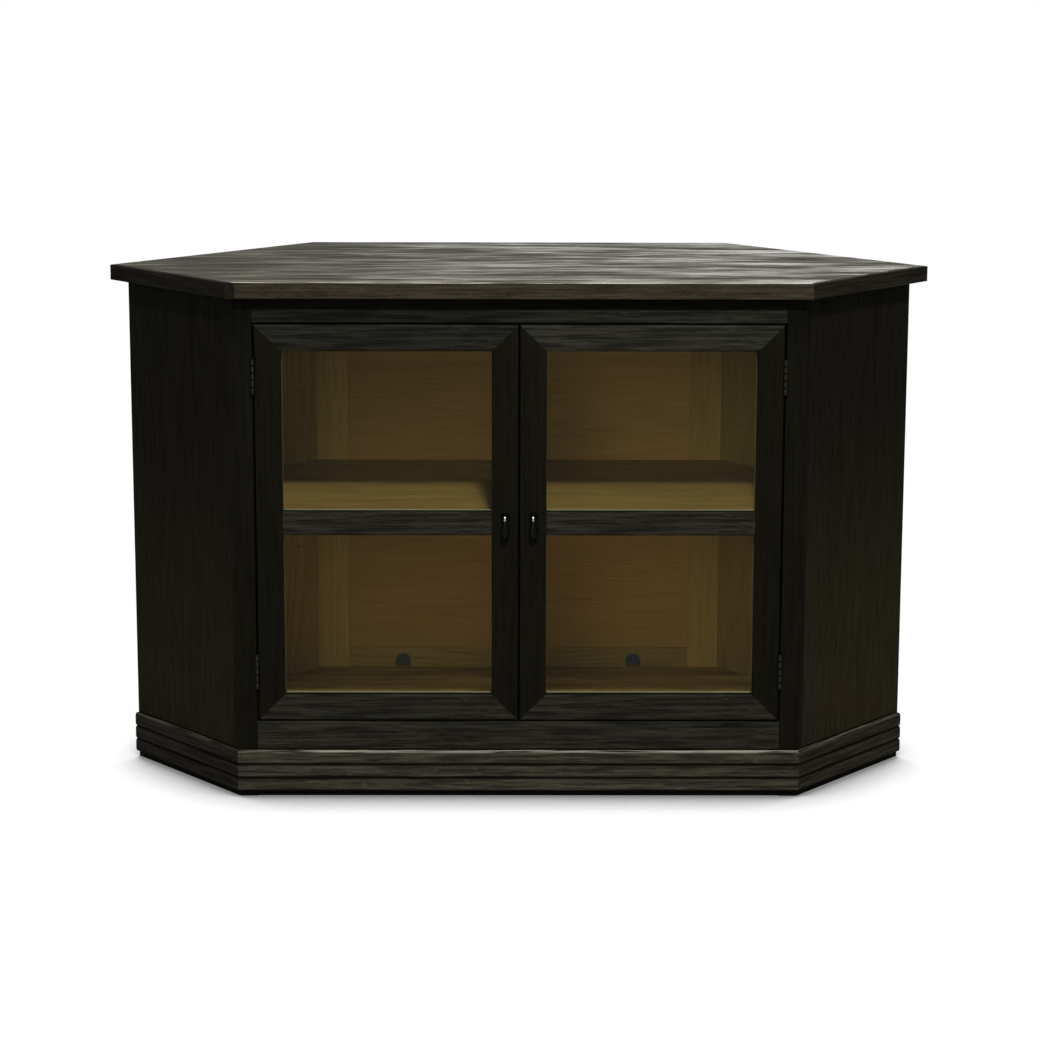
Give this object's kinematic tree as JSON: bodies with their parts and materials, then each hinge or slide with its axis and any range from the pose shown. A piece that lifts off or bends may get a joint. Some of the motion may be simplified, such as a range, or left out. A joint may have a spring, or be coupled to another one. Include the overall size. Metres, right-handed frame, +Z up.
{
  "type": "corner tv cabinet",
  "caption": "Six-sided oak corner cabinet for a television: overhanging lipped top, glazed hinged doors with drop pulls, adjustable shelf and reeded plinth.",
  "frame": {"origin": "on the floor, under the middle of the top's plan (centre of the underside of the whole object's box)", "axes": "+Z up; the glazed front looks along -Y; +X is to the right as seen from the front; the rear diagonals stand against the two walls"},
  "size_m": [1.183, 0.459, 0.74],
  "materials": {
    "stained_oak": "open-grained oak stained charcoal black, satin",
    "natural_oak": "natural golden oak, satin",
    "glass": "clear float glass",
    "dark_bronze": "dark antiqued, worn bright on high points",
    "steel": "dull nickel plated",
    "black_plastic": "matt moulded"
  },
  "bodies": {
    "carcase": {"back_bottom_rail": "natural_oak", "back_panel": "natural_oak", "back_stile_left": "natural_oak", "back_stile_right": "natural_oak", "back_top_rail": "natural_oak", "bottom_board": "natural_oak", "door_catch": "black_plastic", "face_bottom_rail": "stained_oak", "face_stile_left": "stained_oak", "face_stile_right": "stained_oak", "face_top_rail": "stained_oak", "left_hinge_lower_frame_leaf": "steel", "left_hinge_upper_frame_leaf": "steel", "plinth_front": "stained_oak", "plinth_left": "stained_oak", "plinth_right": "stained_oak", "rear_panel_left": "natural_oak", "rear_panel_right": "natural_oak", "right_hinge_lower_frame_leaf": "steel", "right_hinge_upper_frame_leaf": "steel", "shelf_pin_left_rear": "steel", "shelf_pin_left_side": "steel", "shelf_pin_right_rear": "steel", "shelf_pin_right_side": "steel", "side_panel_left": "stained_oak", "side_panel_right": "stained_oak", "top_board": "stained_oak", "top_lipping_front": "stained_oak", "top_lipping_left": "stained_oak", "top_lipping_right": "stained_oak"},
    "left_door": {"left_bead_lower": "natural_oak", "left_bead_upper": "natural_oak", "left_catch_plate": "steel", "left_door_bottom_rail": "stained_oak", "left_door_hinge_stile": "stained_oak", "left_door_meeting_stile": "stained_oak", "left_door_mid_rail": "stained_oak", "left_door_top_rail": "stained_oak", "left_glass_lower": "glass", "left_glass_upper": "glass", "left_hinge_lower_door_leaf": "steel", "left_hinge_upper_door_leaf": "steel", "left_pull_mount": "dark_bronze"},
    "right_door": {"right_bead_lower": "natural_oak", "right_bead_upper": "natural_oak", "right_catch_plate": "steel", "right_door_bottom_rail": "stained_oak", "right_door_hinge_stile": "stained_oak", "right_door_meeting_stile": "stained_oak", "right_door_mid_rail": "stained_oak", "right_door_top_rail": "stained_oak", "right_glass_lower": "glass", "right_glass_upper": "glass", "right_hinge_lower_door_leaf": "steel", "right_hinge_upper_door_leaf": "steel", "right_pull_mount": "dark_bronze"},
    "left_pull": {"left_pull_drop": "dark_bronze"},
    "right_pull": {"right_pull_drop": "dark_bronze"},
    "shelf": {"shelf": "natural_oak"}
  },
  "joints": [
    {"name": "left_door_hinge", "type": "hinge", "parent": "carcase", "child": "left_door", "pos_m": [-0.36875, -0.2148, 0.396], "axis": [0, 0, -1], "range_deg": [0, 170]},
    {"name": "right_door_hinge", "type": "hinge", "parent": "carcase", "child": "right_door", "pos_m": [0.36875, -0.2148, 0.396], "axis": [0, 0, 1], "range_deg": [0, 170]},
    {"name": "left_pull_swing", "type": "hinge", "parent": "left_door", "child": "left_pull", "pos_m": [-0.01975, -0.2195, 0.408], "axis": [-1, 0, 0], "range_deg": [0, 80]},
    {"name": "right_pull_swing", "type": "hinge", "parent": "right_door", "child": "right_pull", "pos_m": [0.01975, -0.2195, 0.408], "axis": [-1, 0, 0], "range_deg": [0, 80]},
    {"name": "shelf_lift", "type": "slide", "parent": "carcase", "child": "shelf", "axis": [0, 0, 1], "range_m": [0, 0.124]}
  ]
}
